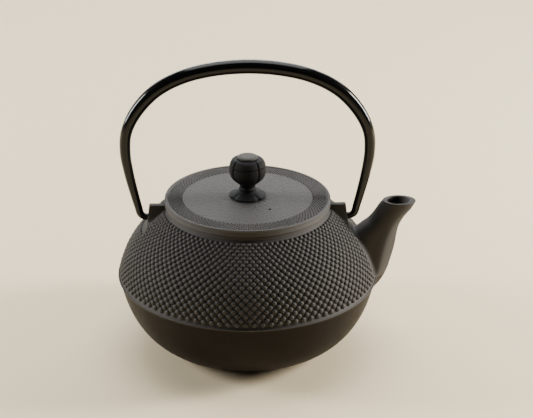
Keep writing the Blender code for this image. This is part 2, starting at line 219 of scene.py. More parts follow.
class TeapotSizes(PropertyGroup):
    """The sizes and counts that change how the pot reads."""

    stud_rows: IntProperty(name="Stud rows", description="Rows of studs on the shoulder", default=22, min=4)
    studs_per_row: IntProperty(name="Studs per row", description="Studs in every row", default=100, min=12)
    stud_height: FloatProperty(
        name="Stud height", description="Height of a stud at the belt", default=1.25 * MM, unit="LENGTH",
        precision=5,
    )
    mesh_pitch: FloatProperty(
        name="Mesh pitch", description="Distance between two wires of the basket", default=1.0 * MM,
        unit="LENGTH", precision=5,
    )
    groove_depth: FloatProperty(
        name="Groove depth", description="Depth of the knob's grooves", default=0.85 * MM, unit="LENGTH",
        precision=5,
    )


def colour(name, description, value):
    """A colour that the sidebar shows, in linear values."""
    return FloatVectorProperty(
        name=name, description=description, subtype="COLOR", size=4, default=(*value, 1.0), min=0.0, max=1.0
    )


class TeapotColours(PropertyGroup):
    """The base colour of every finish."""

    iron: colour("Cast iron", "Studded shoulder, spout and lugs", (0.013, 0.0115, 0.0108))
    bowl: colour("Bowl", "Smooth lower bowl", (0.0045, 0.0024, 0.0011))
    lid: colour("Lid", "Top of the lid", (0.026, 0.0252, 0.0240))
    knob: colour("Knob", "Satin black of the knob", (0.003, 0.0028, 0.0027))
    rivet: colour("Rivet", "Bare iron of the rivet", (0.06, 0.057, 0.052))
    lacquer: colour("Lacquer", "Gloss black of the bail", (0.002, 0.002, 0.002))
    enamel: colour("Enamel", "Glass lining inside the pot", (0.006, 0.006, 0.006))
    steel: colour("Steel", "Stainless steel of the infuser", (0.40, 0.395, 0.38))
    floor: colour("Floor", "Pale floor", (0.86, 0.71, 0.46))


# --- Materials ---------------------------------------------------------------------------------


class Value:
    """One output of a material's nodes. Arithmetic on it adds the Math nodes that work it out."""

    def __init__(self, finish, socket):
        self.finish = finish
        self.socket = socket

    def math(self, operation, *others):
        return self.finish.node("ShaderNodeMath", {"operation": operation}, [self, *others])

    def __add__(self, other):
        return self.math("ADD", other)

    def __mul__(self, other):
        return self.math("MULTIPLY", other)

    def __sub__(self, other):
        return self.math("SUBTRACT", other)

    def __rsub__(self, other):
        return self.finish.node("ShaderNodeMath", {"operation": "SUBTRACT"}, [other, self])

    def __pow__(self, other):
        return self.math("POWER", other)

    __radd__ = __add__
    __rmul__ = __mul__

    def between(self, low, high):
        """0 below low, 1 above high and a smooth step from one to the other."""
        return self.finish.node(
            "ShaderNodeMapRange", {"interpolation_type": "SMOOTHSTEP"},
            {"Value": self, "From Min": low, "From Max": high},
        )


class Finish:
    """A material: its node tree, its Principled shader and the patterns that feed it."""

    def __init__(self, name, **constants):
        self.material = bpy.data.materials.new(name)
        self.material.use_nodes = True
        self.tree = self.material.node_tree
        self.shader = self.tree.nodes["Principled BSDF"]
        for socket, value in constants.items():
            self.shader.inputs[socket.replace("_", " ")].default_value = value
        self.place = self.node("ShaderNodeTexCoord", output="Object")

    def node(self, kind, settings=None, inputs=None, output=0):
        """Adds a node, its settings first and then the values or links of its sockets."""
        made = self.tree.nodes.new(kind)
        for setting, value in (settings or {}).items():
            setattr(made, setting, value)
        numbered = enumerate(inputs) if isinstance(inputs, list) else (inputs or {}).items()
        for socket, value in numbered:
            self.feed(made.inputs[socket], value)
        return Value(self, made.outputs[output])

    def feed(self, socket, value):
        """Gives a socket a value or a link. A name means a socket of the Principled shader."""
        socket = self.shader.inputs[socket] if isinstance(socket, str) else socket
        if isinstance(value, Value):
            self.tree.links.new(value.socket, socket)
        else:
            socket.default_value = value

    def noise(self, size, detail=2.0, roughness=0.5, place=None):
        """Soft noise from 0 to 1 whose grains are about a size across, in millimetres."""
        return self.node(
            "ShaderNodeTexNoise", {"noise_dimensions": "3D"},
            {"Vector": place or self.place, "Scale": 1.0 / (size * MM), "Detail": detail,
             "Roughness": roughness},
        )

    def cells(self, size):
        """Distance to the nearest of many scattered points that are about a size apart."""
        return self.node(
            "ShaderNodeTexVoronoi", {"feature": "F1"}, {"Vector": self.place, "Scale": 1.0 / (size * MM)}
        )

    def mix(self, share, first, second):
        """A colour between two colours."""
        return self.node("ShaderNodeMix", {"data_type": "RGBA"}, {0: share, 6: first, 7: second}, output=2)

    def tones(self, share, paint, dark, light):
        """A colour between two tones of one paint."""
        return self.mix(share, scaled(paint, dark), scaled(paint, light))

    def crest(self):
        """The mesh's own mark for what stands high, from 0 to 1."""
        return self.node("ShaderNodeAttribute", {"attribute_name": "crest"}, output="Fac")

    def height(self):
        """Height above the table, in millimetres."""
        split = self.node("ShaderNodeSeparateXYZ", None, [self.place], output=2)
        return split * (1.0 / MM)

    def stretched(self, x, y, z):
        """The place on the piece with each direction scaled, for grain that runs one way."""
        return self.node("ShaderNodeMapping", None, {"Vector": self.place, "Scale": (x, y, z)})

    def relief(self, *layers):
        """Small surface relief: each layer is a pattern and its height in millimetres."""
        normal = None
        for pattern, size in layers:
            inputs = {"Height": pattern, "Distance": size * MM, "Strength": 1.0}
            if normal:
                inputs["Normal"] = normal
            normal = self.node("ShaderNodeBump", None, inputs)
        self.feed("Normal", normal)


def scaled(paint, share):
    """A colour made darker or lighter."""
    return (*(min(channel * share, 1.0) for channel in paint[:3]), 1.0)


def iron_finish(colours):
    """Cast iron of the pot: brown black, matt in the hollows, a little lighter with wear on the stud tips.
    """
    finish = Finish("cast_iron", Specular_IOR_Level=0.34)
    crest = finish.crest()
    patches = finish.noise(14.0, detail=3.0)
    grain = finish.noise(0.55, detail=3.0, roughness=0.6)
    band = (1 - finish.height().between(BELT_HEIGHT + 1.8, BELT_HEIGHT + 3.2)) * (1 - crest)
    body = finish.tones(patches.between(0.3, 0.7), colours.iron, 0.82, 1.16)
    tipped = finish.mix(crest.between(0.0, 0.5) * 0.6, body, scaled(colours.iron, 1.6))
    finish.feed("Base Color", finish.mix(band * 0.6, tipped, scaled(colours.iron, 0.5)))
    finish.feed("Roughness", 0.29 + patches * 0.10 + grain * 0.10 - crest * 0.04 + band * 0.30)
    finish.relief((finish.noise(0.3), 0.05), (grain, 0.06), (finish.noise(2.6), 0.12))
    return finish.material


def bowl_finish(colours):
    """Smooth lower bowl: darker, warmer and more matt than the shoulder, with faint upright strokes."""
    finish = Finish("bowl_iron", Specular_IOR_Level=0.12)
    patches = finish.noise(12.0, detail=3.0)
    strokes = finish.noise(1.6, detail=3.0, roughness=0.6, place=finish.stretched(1.0, 1.0, 0.25))
    finish.feed("Base Color", finish.tones(strokes, colours.bowl, 0.7, 1.5))
    finish.feed("Roughness", 0.42 + patches * 0.10 + strokes * 0.10)
    finish.relief((strokes, 0.06), (finish.noise(0.4, detail=3.0), 0.06))
    return finish.material


def lid_finish(colours):
    """Cast iron of the lid: greyer than the pot, with painted highlights on its raised grains and studs and
    painted shade between them and in its pits.
    """
    finish = Finish("lid_iron", Specular_IOR_Level=0.36)
    crest = finish.crest()
    speckle = finish.noise(0.9, roughness=0.6)
    patches = finish.noise(16.0, detail=3.0)
    light = finish.tones(patches, colours.lid, 1.5, 2.1)
    pits = finish.cells(0.62).between(0.15, 0.5)
    # Painted light: the crest mark lightens what stands high as a painted highlight, and the ground and the
    # pits are darkened as painted shade. The speckle is a random tone of the iron.
    painted_light_and_speckle = crest * 0.7 + speckle.between(0.4, 0.6) * 0.3 - (1 - pits) * 0.25
    finish.feed("Base Color", finish.mix(painted_light_and_speckle, scaled(colours.lid, 0.12), light))
    finish.feed("Roughness", 0.62 - crest * 0.20 + speckle * 0.12)
    finish.relief((pits, 0.05), (speckle, 0.14), (finish.noise(0.4), 0.05))
    return finish.material


def knob_finish(colours):
    """Satin black iron of the knob."""
    finish = Finish("knob_black", Specular_IOR_Level=0.3)
    patches = finish.noise(5.0, detail=3.0)
    grain = finish.noise(0.45)
    finish.feed("Base Color", finish.tones(patches, colours.knob, 0.8, 1.3))
    finish.feed("Roughness", 0.30 + patches * 0.12 + grain * 0.06)
    finish.relief((grain, 0.03), (patches, 0.08))
    return finish.material


def rivet_finish(colours):
    """Bare grey iron of the rivet's head."""
    finish = Finish("rivet_iron", Metallic=0.55)
    patches = finish.noise(3.0, detail=3.0)
    grain = finish.noise(0.4)
    finish.feed("Base Color", finish.tones(patches, colours.rivet, 0.75, 1.15))
    finish.feed("Roughness", 0.42 + grain * 0.16)
    finish.relief((grain, 0.02), (patches, 0.06))
    return finish.material


def lacquer_finish(colours):
    """Gloss black lacquer of the bail, brushed on, with a faint waviness."""
    finish = Finish("black_lacquer", Specular_IOR_Level=0.3)
    waves = finish.noise(7.0)
    dust = finish.noise(0.7)
    finish.feed("Base Color", finish.tones(waves, colours.lacquer, 0.7, 1.5))
    finish.feed("Roughness", 0.10 + waves * 0.10 + dust.between(0.62, 0.8) * 0.15)
    finish.relief((waves, 0.05), (dust, 0.003))
    return finish.material


def enamel_finish(colours):
    """Dark glass enamel fused to the inside of the pot."""
    finish = Finish("enamel_lining", Coat_Weight=0.5, Coat_Roughness=0.08)
    flow = finish.noise(9.0)
    specks = finish.noise(0.8)
    base = finish.tones(flow, colours.enamel, 0.8, 1.4)
    finish.feed("Base Color", finish.mix(specks.between(0.68, 0.74), base, (0.12, 0.12, 0.12, 1.0)))
    finish.feed("Roughness", 0.20 + flow * 0.10)
    finish.relief((flow, 0.10))
    return finish.material


def steel_finish(colours):
    """Stainless steel sheet with fine turning lines round the axis."""
    finish = Finish("stainless_steel", Metallic=1.0)
    lines = finish.noise(0.5, detail=3.0, place=finish.stretched(0.05, 0.05, 1.0))
    smudge = finish.noise(12.0)
    finish.feed("Base Color", finish.tones(lines, colours.steel, 0.85, 1.1))
    finish.feed("Roughness", 0.20 + lines * 0.12 + smudge * 0.08)
    finish.relief((lines, 0.01))
    return finish.material


def floor_finish(colours):
    """Pale plain floor with a faint fleck."""
    finish = Finish("pale_floor", Roughness=0.75)
    fleck = finish.noise(2.5, detail=3.0)
    finish.feed("Base Color", finish.tones(fleck, colours.floor, 0.97, 1.02))
    return finish.material


FINISHES = {
    "cast_iron": iron_finish, "bowl_iron": bowl_finish, "lid_iron": lid_finish,
    "knob_black": knob_finish, "rivet_iron": rivet_finish, "black_lacquer": lacquer_finish,
    "enamel_lining": enamel_finish, "stainless_steel": steel_finish, "pale_floor": floor_finish,
}


def finish_named(name):
    """The material of that name, made when it is first asked for."""
    return bpy.data.materials.get(name) or FINISHES[name](bpy.context.scene.teapot_colours)


# --- Modelling helpers -------------------------------------------------------------------------


class Course:
    """A line in the turning plane as (radius, height) points, read by the distance along it."""

    def __init__(self, points):
        self.points = [Vector(point) for point in points]
        self.reach = [0.0]
        for before, after in zip(self.points, self.points[1:]):
            self.reach.append(self.reach[-1] + (after - before).length)
        self.length = self.reach[-1]

    def at(self, distance, depth=0.0):
        """The point that far along, moved inwards by the depth, and the outward direction there."""
        index = min(max(bisect_right(self.reach, distance), 1), len(self.points) - 1)
        before, after = self.points[index - 1], self.points[index]
        along = (after - before).normalized()
        outward = Vector((-along.y, along.x))
        share = (distance - self.reach[index - 1]) / (self.reach[index] - self.reach[index - 1])
        return before.lerp(after, share) - outward * depth, outward

    def samples(self, start, end, step, depth=0.0):
        """Points about a step apart between two distances, all moved inwards by the depth."""
        return [tuple(self.at(distance, depth)[0]) for distance in steps_between(start, end, step)]


def curve_points(start, start_handle, end_handle, end, count):
    """(radius, height) points along one cubic curve, its two ends included."""
    knots = [Vector((x, z, 0.0)) for x, z in (start, start_handle, end_handle, end)]
    return [(point.x, point.y) for point in interpolate_bezier(*knots, count)]


def arc_points(centre, radius, start, end, count):
    """(radius, height) points along an arc, its two ends included. Angles are in degrees."""
    angles = [math.radians(start + (end - start) * step / (count - 1)) for step in range(count)]
    return [(centre[0] + radius * math.cos(a), centre[1] + radius * math.sin(a)) for a in angles]


def smooth_run(knots, per_span):
    """Points on a smooth curve through the knots."""
    ends = [2 * knots[0] - knots[1]] + knots + [2 * knots[-1] - knots[-2]]
    run = []
    for before, start, end, after in zip(ends, ends[1:], ends[2:], ends[3:]):
        for step in range(per_span):
            share = step / per_span
            slope_in, slope_out = (end - before) / 2, (after - start) / 2
            drift = (2 * (start - end) + slope_in + slope_out) * share**3
            bend = (3 * (end - start) - 2 * slope_in - slope_out) * share**2
            run.append(drift + bend + slope_in * share + start)
    return run + [knots[-1]]


def turned(outline, steps):
    """Turns (radius, height) points about Z. An outline that stays off the axis closes on itself."""
    bm = bmesh.new()
    verts = [bm.verts.new((radius * MM, 0.0, height * MM)) for radius, height in outline]
    edges = [bm.edges.new(pair) for pair in zip(verts, verts[1:])]
    if outline[0][0] > 0:
        edges.append(bm.edges.new((verts[-1], verts[0])))
    bmesh.ops.spin(
        bm, geom=verts + edges, cent=(0, 0, 0), axis=(0, 0, 1), angle=2 * math.pi, steps=steps,
        use_merge=True,
    )
    bmesh.ops.remove_doubles(bm, verts=bm.verts, dist=1e-6)
    bmesh.ops.recalc_face_normals(bm, faces=bm.faces)
    return bm


def lofted(rings):
    """A closed solid that is extruded from ring to ring, each a list of points in metres."""
    bm = bmesh.new()
    bmesh.ops.create_circle(bm, cap_ends=True, radius=1.0, segments=len(rings[0]))
    bm.faces.ensure_lookup_table()
    face = bm.faces[0]
    for vert, point in zip(face.verts, rings[0]):
        vert.co = point
    for ring in rings[1:]:
        face = bmesh.ops.extrude_discrete_faces(bm, faces=[face])["faces"][0]
        for vert, point in zip(face.verts, ring):
            vert.co = point
    bmesh.ops.holes_fill(bm, edges=[edge for edge in bm.edges if edge.is_boundary])
    bmesh.ops.recalc_face_normals(bm, faces=bm.faces)
    return bm


def mesh_from(name, bm):
    """The finished mesh of a bmesh, which is freed."""
    mesh = bpy.data.meshes.new(name)
    bm.to_mesh(mesh)
    bm.free()
    return mesh


def linked(name, data):
    """A new object in the scene that holds the mesh, the light or the camera."""
    obj = bpy.data.objects.new(name, data)
    bpy.context.scene.collection.objects.link(obj)
    return obj


def cylinder(radius, length, sides):
    """A closed cylinder about Z round the origin. Its sizes are in metres."""
    bm = bmesh.new()
    bmesh.ops.create_cone(
        bm, cap_ends=True, segments=sides, radius1=radius, radius2=radius, depth=length
    )
    return bm


def carved(bm, cutters):
    """The solid with closed cutters taken away, as a new mesh."""
    blank = linked("blank", mesh_from("blank", bm))
    tools = [linked("cutter", mesh_from("cutter", cutter)) for cutter in cutters]
    for tool in tools:
        modifier = blank.modifiers.new("cut", "BOOLEAN")
        modifier.operation = "DIFFERENCE"
        modifier.solver = "EXACT"
        modifier.object = tool
    evaluated = blank.evaluated_get(bpy.context.evaluated_depsgraph_get())
    cut = bmesh.new()
    cut.from_mesh(evaluated.to_mesh())
    evaluated.to_mesh_clear()
    for obj in (blank, *tools):
        mesh = obj.data
        bpy.data.objects.remove(obj)
        bpy.data.meshes.remove(mesh)
    if not cut.faces:
        raise RuntimeError("Nothing is left of the solid after its cuts")
    return cut


def add_piece(name, bm, body, finishes, replaced=(), sharp=40.0):
    """The finished object of a piece: it rides on its body and wears its finishes."""
    if not bm.faces:
        raise RuntimeError(f"The piece {name} came out empty")
    mesh = mesh_from(name, bm)
    mesh.shade_smooth()
    mesh.set_sharp_from_angle(angle=math.radians(sharp))
    for finish in finishes:
        mesh.materials.append(finish_named(finish))
    piece = linked(name, mesh)
    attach(piece, body)
    if replaced:
        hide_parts(*replaced)
    return piece


def unit_dome(sides, rings, skirt):
    """A dome of radius and height 1 on the XY plane, closed below by a short buried skirt."""
    bm = bmesh.new()
    bmesh.ops.create_uvsphere(bm, u_segments=sides, v_segments=2 * rings, radius=1.0)
    bmesh.ops.bisect_plane(
        bm, geom=bm.verts[:] + bm.edges[:] + bm.faces[:], dist=1e-4, plane_co=(0, 0, 0),
        plane_no=(0, 0, 1), clear_inner=True,
    )
    edges = [edge for edge in bm.edges if edge.is_boundary]
    grown = bmesh.ops.extrude_edge_only(bm, edges=edges)["geom"]
    low = [item for item in grown if isinstance(item, bmesh.types.BMVert)]
    bmesh.ops.translate(bm, verts=low, vec=(0, 0, -skirt))
    bmesh.ops.holes_fill(bm, edges=[edge for edge in bm.edges if edge.is_boundary])
    bmesh.ops.recalc_face_normals(bm, faces=bm.faces)
    crest = bm.verts.layers.float.new("crest")
    for vert in bm.verts:
        vert[crest] = max(vert.co.z, 0.0)
    return mesh_from("dome", bm)


def add_copies(bm, pattern, matrices):
    """Adds a copy of the pattern's mesh at every place and drops the pattern."""
    for matrix in matrices:
        copy = pattern.copy()
        copy.transform(matrix)
        bm.from_mesh(copy)
        bpy.data.meshes.remove(copy)
    bpy.data.meshes.remove(pattern)


# --- Pot -----------------------------------------------------------------------------------------

SHOULDER = Course(curve_points(
    (54.5, COLLAR_FOOT), (70.3, 77.8), (79.2, 69.5), (BELT_RADIUS, BELT_HEIGHT), 160
))
BOWL = Course(curve_points((82.8, 46.6), (80.5, 34.0), (74.0, 7.0), (BASE_RADIUS, 0.0), 90))


def steps_between(start, end, step):
    """Evenly spaced numbers from start to end, about a step apart, both included."""
    count = max(round(abs(end - start) / step), 1)
    return [start + (end - start) * index / count for index in range(count + 1)]


def smoothstep(low, high, value):
    """0 below low, 1 above high and a smooth step from one to the other."""
    share = min(max((value - low) / (high - low), 0.0), 1.0)
    return share * share * (3 - 2 * share)


def stud_depth(distance, height):
    """How far the skin lies below the stud tips: it rises a little to the band at the belt."""
    return height * (1.0 - 0.5 * smoothstep(STUD_ZONE, BAND_START, distance))


def pot_outside(stud_height):
    """The pot's outer line from the collar down over the belt to the middle of the base."""
    reach = COLLAR_RADIUS - COLLAR_INSET
    collar = [(reach - 0.45, COLLAR_TOP), (reach - 0.12, COLLAR_TOP - 0.12)]
    collar += [(reach, COLLAR_TOP - 0.45), (reach, COLLAR_FOOT + 0.2), (reach + 0.4, COLLAR_FOOT - 0.6)]
    shoulder = []
    for distance in steps_between(0.9, SHOULDER.length - 0.3, 0.8):
        point, _ = SHOULDER.at(distance, stud_depth(distance, stud_height))
        shoulder.append(tuple(point))
    belt = arc_points((BELT_RADIUS - 0.55, BELT_HEIGHT - 0.1), 0.55, 60, -80, 7)
    bowl = BOWL.samples(0.3, BOWL.length - 1.5, 1.2)
    base = [(BASE_RADIUS - 0.3, 0.12), (BASE_RADIUS - 1.2, 0.0), (20.0, 0.0), (0.0, 0.0)]
    return collar + shoulder + belt + bowl + base


def belly(wall):
    """The hollow's line from under the ledge down to the middle of the floor, a wall's thickness in."""
    shift = WALL - wall
    upper = SHOULDER.samples(24.0, SHOULDER.length - 1.0, 1.4, wall)
    lower = BOWL.samples(1.5, BOWL.length - 12.0, 1.4, wall)
    floor = FLOOR - shift
    corner = lower[-1][0] - 5.0
    under_ledge = [(52.0 + shift, 84.5 + shift)]
    return under_ledge + upper + lower + [(corner, floor), (corner * 0.5, floor), (0.0, floor)]


def pot_neck():
    """The line from the belly up over the ledge and the mouth to the collar."""
    return [
        (LEDGE_BORE + 0.5, LEDGE_UNDERSIDE), (LEDGE_BORE, LEDGE_UNDERSIDE + 0.5),
        (LEDGE_BORE, LEDGE_TOP - 0.4), (LEDGE_BORE + 0.4, LEDGE_TOP), (MOUTH_RADIUS - 0.4, LEDGE_TOP),
        (MOUTH_RADIUS, LEDGE_TOP + 0.4), (MOUTH_RADIUS, COLLAR_TOP - 0.4), (MOUTH_RADIUS + 0.4, COLLAR_TOP),
    ]


def pot_shell(stud_height):
    """The pot without its spout and lugs: outside and inside as one closed wall."""
    inside = belly(WALL)[::-1]
    outline = inside + pot_neck() + pot_outside(stud_height)
    return turned(outline, POT_STEPS)


def near_line(place, line):
    """Whether a (radius, height) place is on a line, to within half a millimetre."""
    spots = [Vector(point) for point in line]
    for before, after in zip(spots, spots[1:]):
        span = after - before
        share = min(max((place - before).dot(span) / span.length_squared, 0.0), 1.0)
        if (before + span * share - place).length < 0.5:
            return True
    return False


@lru_cache(maxsize=None)
def shell_finish(radius, height):
    """Which finish the wall wears at a place: 0 studded iron, 1 enamel inside, 2 the bowl's iron."""
    place = Vector((radius, height))
    if near_line(place, belly(WALL) + pot_neck()[:4]):
        return 1
    return 2 if height < FINISH_CHANGE else 0


def belly_cutter():
    """The hollow, grown a little into the wall, which trims what is cast onto the outside."""
    line = [(0.0, LEDGE_UNDERSIDE + 0.4), (LEDGE_BORE, LEDGE_UNDERSIDE + 0.4)] + belly(WALL - 0.5)
    return turned(line, POT_STEPS)


def section_ring(station, count):
    """One section of the spout: a ring in the plane that holds both points and runs along Y."""
    inner_x, inner_z, outer_x, outer_z, half_width, keel = station
    middle = Vector((inner_x + outer_x, inner_z + outer_z)) / 2
    reach = Vector((outer_x - inner_x, outer_z - inner_z)) / 2
    knots = [Vector(point) for point in KEEL_SECTION]
    section = smooth_run(knots, count // (2 * (len(knots) - 1)))
    half = []
    for index, (keel_out, keel_side) in enumerate(section):
        angle = index * math.pi / (len(section) - 1)
        out = keel * keel_out + (1 - keel) * math.cos(angle)
        half.append((out, (keel * keel_side + (1 - keel) * math.sin(angle)) * half_width))
    half[0], half[-1] = (half[0][0], 0.0), (half[-1][0], 0.0)
    round_trip = half + [(out, -side) for out, side in half[-2:0:-1]]
    return [
        Vector((middle.x + reach.x * out, side, middle.y + reach.y * out)) * MM for out, side in round_trip
    ]


def widened(ring, share, rise):
    """A ring scaled about its middle and lifted by a rise in millimetres."""
    middle = sum(ring, Vector()) / len(ring)
    return [middle + (point - middle) * share + Vector((0, 0, rise * MM)) for point in ring]


def spread_onto(bm, ground, fillet):
    """Flares a solid where it meets the ground skin, so that the two flow into each other."""
    bm.normal_update()
    moves = []
    for vert in bm.verts:
        place, normal, _, _ = ground.find_nearest(vert.co)
        height = (vert.co - place).dot(normal) / MM
        sideways = vert.normal - normal * vert.normal.dot(normal)
        if height > fillet or sideways.length < 0.2:
            continue
        rise = min(max(height + FLARE_SINK, 0.0), fillet)
        spread = fillet - math.sqrt(fillet**2 - (fillet - rise) ** 2)
        moves.append((vert, sideways.normalized() * spread * MM * smoothstep(*FLARE_FADE, height)))
    for vert, move in moves:
        vert.co += move
    return bm


def spout_skin(ground):
    """The spout's outside as a filled solid, flared where it leaves the shoulder and the bowl."""
    rings = [section_ring(s, SPOUT_SIDES) for s in smooth_run([Vector(s) for s in SPOUT], SPOUT_SPAN_STEPS)]
    mouth = rings[-1]
    rings.append(widened(mouth, 0.995, MOUTH_ROUNDING * 0.5))
    rings.append(widened(mouth, 0.975, MOUTH_ROUNDING * 0.85))
    rings.append(widened(mouth, 0.945, MOUTH_ROUNDING))
    return spread_onto(lofted(rings), ground, SPOUT_FILLET)


def spout_bore():
    """The bore of the spout, from inside the belly to past its flared mouth."""
    rings = [section_ring(s, BORE_SIDES) for s in smooth_run([Vector(s) for s in BORE], BORE_SPAN_STEPS)]
    mouth = rings[-1]
    rings.append(widened(mouth, 1.02, MOUTH_ROUNDING * 0.5))
    rings.append(widened(mouth, 1.07, MOUTH_ROUNDING))
    rings.append(widened(mouth, 1.3, MOUTH_ROUNDING + 1.5))
    return lofted(rings)


def lug_skin(side, ground):
    """One tapered ear as a filled solid, flared onto the shoulder."""
    rings = []
    for height, reach, half in smooth_run([Vector(s) for s in LUG_STATIONS], LUG_SPAN_STEPS):
        corner = min(0.9, half * 0.6)
        outline = [(x, -half) for x in steps_between(LUG_ROOT, reach - corner, 0.9)[:14]]
        outline += [(reach - corner * 0.3, -half + corner * 0.3), (reach, -half + corner)]
        outline += [(reach, -half * share) for share in (0.5, 0.25, 0.0)]
        outline += [(x, -y) for x, y in outline[-2::-1]]
        rings.append([Vector((side * x, y, height)) * MM for x, y in outline])
    rings.append(widened(rings[-1], 0.96, 0.35))
    return spread_onto(lofted(rings), ground, LUG_FILLET)


def lug_bore(side):
    """The blind hole that one end of the bail turns in."""
    length = (BORE_START - BORE_END) * MM
    bm = cylinder(BORE_RADIUS * MM, length, 32)
    quarter = Vector((0, 0, 1)).rotation_difference(Vector((1, 0, 0))).to_matrix()
    bmesh.ops.rotate(bm, verts=bm.verts, cent=(0, 0, 0), matrix=quarter)
    centre = Vector((side * (BORE_END * MM + length / 2), 0.0, PIVOT_HEIGHT * MM))
    bmesh.ops.translate(bm, verts=bm.verts, vec=centre)
    return bm


def ground_tree(stud_height):
    """The pot's skin for finding the nearest point on it."""
    bm = pot_shell(stud_height)
    tree = BVHTree.FromBMesh(bm)
    bm.free()
    return tree


def cast_on_trees(stud_height):
    """The spout and the lugs, each with the bare margin round it, for finding which studs they cover."""
    ground = ground_tree(stud_height)
    skins = [(spout_skin(ground), SPOUT_MARGIN)]
    skins += [(lug_skin(side, ground), LUG_MARGIN) for side in (1, -1)]
    trees = []
    for bm, margin in skins:
        trees.append((BVHTree.FromBMesh(bm), margin))
        bm.free()
    return trees


def is_covered(point, outward, trees, size):
    """Whether a stud of this size touches one of the solids or the bare margin round it."""
    for tree, margin in trees:
        if tree.find_nearest(point)[3] < (size + margin) * MM:
            return True
        _, normal, _, distance = tree.ray_cast(point, outward)
        if distance is not None and normal.dot(outward) > 0:
            return True
    return False


def stud_places(sizes):
    """The matrix of every stud: rows offset by half a pitch, none where the spout or a lug is."""
    chance = random.Random(4)
    height = sizes.stud_height / MM
    trees = cast_on_trees(height)
    turn = 2 * math.pi / sizes.studs_per_row
    for row in range(sizes.stud_rows):
        distance = FIRST_ROW + ROW_STEP * row + ROW_SPREAD * row**2
        step = ROW_STEP + 2 * ROW_SPREAD * row
        (radius, level), outward = SHOULDER.at(distance, stud_depth(distance, height))
        size = math.hypot(radius * turn / 2, step) / 2 * STUD_FULLNESS
        for index in range(sizes.studs_per_row):
            angle = (index + row % 2 / 2 + chance.uniform(-0.02, 0.02)) * turn
            point = Vector((radius * math.cos(angle), radius * math.sin(angle), level)) * MM
            around = Vector((-math.sin(angle), math.cos(angle), 0.0))
            normal = Vector((outward.x * math.cos(angle), outward.x * math.sin(angle), outward.y))
            if is_covered(point, normal, trees, size):
                continue
            up = around.cross(normal)
            tall = height * size / STUD_SIZE_AT_BELT * chance.uniform(0.95, 1.04)
            columns = (around * size * MM, -up * size * MM, normal * tall * MM)
            turned_to = Matrix(columns).transposed().to_4x4()
            yield Matrix.Translation(point) @ turned_to


# --- Lid and knob ----------------------------------------------------------------------------------


def plate_height(radius):
    """Height of the lid plate's slightly domed top at a radius."""
    return PLATE_CENTRE - (PLATE_CENTRE - PLATE_EDGE) * (radius / PLATE_RADIUS) ** 2


def lid_outline():
    """The lid's line: rim bead, plate, middle hole, underside, lip, seat and side."""
    bead = arc_points((LID_HIGH.x - 0.5, RIM_TOP - 0.5), 0.5, 0, 90, 6)
    bead += arc_points((LID_HIGH.x - 1.35, RIM_TOP - 0.35), 0.35, 90, 175, 4)
    cove = [(PLATE_RADIUS + 0.5, PLATE_EDGE + 0.12), (PLATE_RADIUS, PLATE_EDGE + 0.02)]
    radii = steps_between(PLATE_RADIUS - 0.6, GRAIN_RADIUS + 0.5, 1.4)
    radii += steps_between(GRAIN_RADIUS, RIVET_HOLE + 1.0, GRAIN_STEP) + [RIVET_HOLE]
    plate = [(radius, plate_height(radius)) for radius in radii]
    low = PLATE_CENTRE - PLATE_THICKNESS
    under = [(RIVET_HOLE, low), (8.0, low), (LIP_INNER_RADIUS - 0.6, PLATE_EDGE - PLATE_THICKNESS)]
    under += [(LIP_INNER_RADIUS, PLATE_EDGE - PLATE_THICKNESS - 0.6), (LIP_INNER_RADIUS, LID_LOW.z + 0.4)]
    lip = [(LIP_INNER_RADIUS + 0.4, LID_LOW.z), (LIP_RADIUS - 0.4, LID_LOW.z), (LIP_RADIUS, LID_LOW.z + 0.4)]
    seat = [(LIP_RADIUS, SEAT - 0.2), (LIP_RADIUS + 0.2, SEAT), (LID_HIGH.x - 0.5, SEAT)]
    side = [(LID_HIGH.x - 0.12, SEAT + 0.12), (LID_HIGH.x, SEAT + 0.5)]
    for level in (SEAT + 1.1, SEAT + 1.9, SEAT + 2.7):
        side += [(LID_HIGH.x, level - 0.22), (LID_HIGH.x - LINE_DEPTH, level), (LID_HIGH.x, level + 0.22)]
    return bead + cove + plate + under + lip + seat + side


def roughen_plate(bm):
    """Gives the plate's middle the pebbled skin of a sand casting, and marks what stands high; the lid's
    finish paints highlights on the high marks and shade on the low ones.
    """
    crest = bm.verts.layers.float.new("crest")
    for vert in bm.verts:
        radius = math.hypot(vert.co.x, vert.co.y) / MM
        on_top = vert.co.z / MM > plate_height(radius) - 0.1
        if not on_top or not RIVET_HOLE + 0.5 < radius < PLATE_RADIUS - 0.3:
            vert[crest] = 0.45
            continue
        place = vert.co / MM
        pebbles = noise.noise(place / 1.25) * 0.65 + noise.noise(place / 0.7 + Vector((7, 3, 1))) * 0.35
        grainy = radius < GRAIN_RADIUS + 0.1
        vert.co.z += pebbles * (0.42 if grainy else 0.04) * MM
        # The crest paints highlight on the pebbles' tops and shade between them; the studded ring's ground
        # gets 0, so it is darkened as painted shade.
        vert[crest] = min(max(0.5 + pebbles * 1.7, 0.0), 1.0) if grainy else 0.0
    return bm


def vent_cutter():
    """The steam vent through the plate."""
    bm = cylinder(VENT_RADIUS * MM, 20 * MM, 24)
    place = Vector((VENT_PLACE[0], VENT_PLACE[1], PLATE_EDGE)) * MM
    bmesh.ops.translate(bm, verts=bm.verts, vec=place)
    return bm


def lid_stud_places(studs_per_row):
    """The matrix of every small stud in the lid's outer ring."""
    chance = random.Random(9)
    turn = 2 * math.pi / studs_per_row
    for row in range(LID_ROWS):
        radius = LID_STUD_RING + LID_ROW_STEP * (row + 0.5)
        size = math.hypot(radius * turn / 2, LID_ROW_STEP) / 2 * LID_STUD_FULLNESS
        for index in range(studs_per_row):
            angle = (index + row % 2 / 2) * turn
            point = Vector((radius * math.cos(angle), radius * math.sin(angle), plate_height(radius))) * MM
            tall = LID_STUD_HEIGHT * chance.uniform(0.9, 1.05)
            spin = Matrix.Rotation(angle, 4, "Z")
            yield Matrix.Translation(point) @ spin @ Matrix.Diagonal((size * MM, size * MM, tall * MM, 1.0))


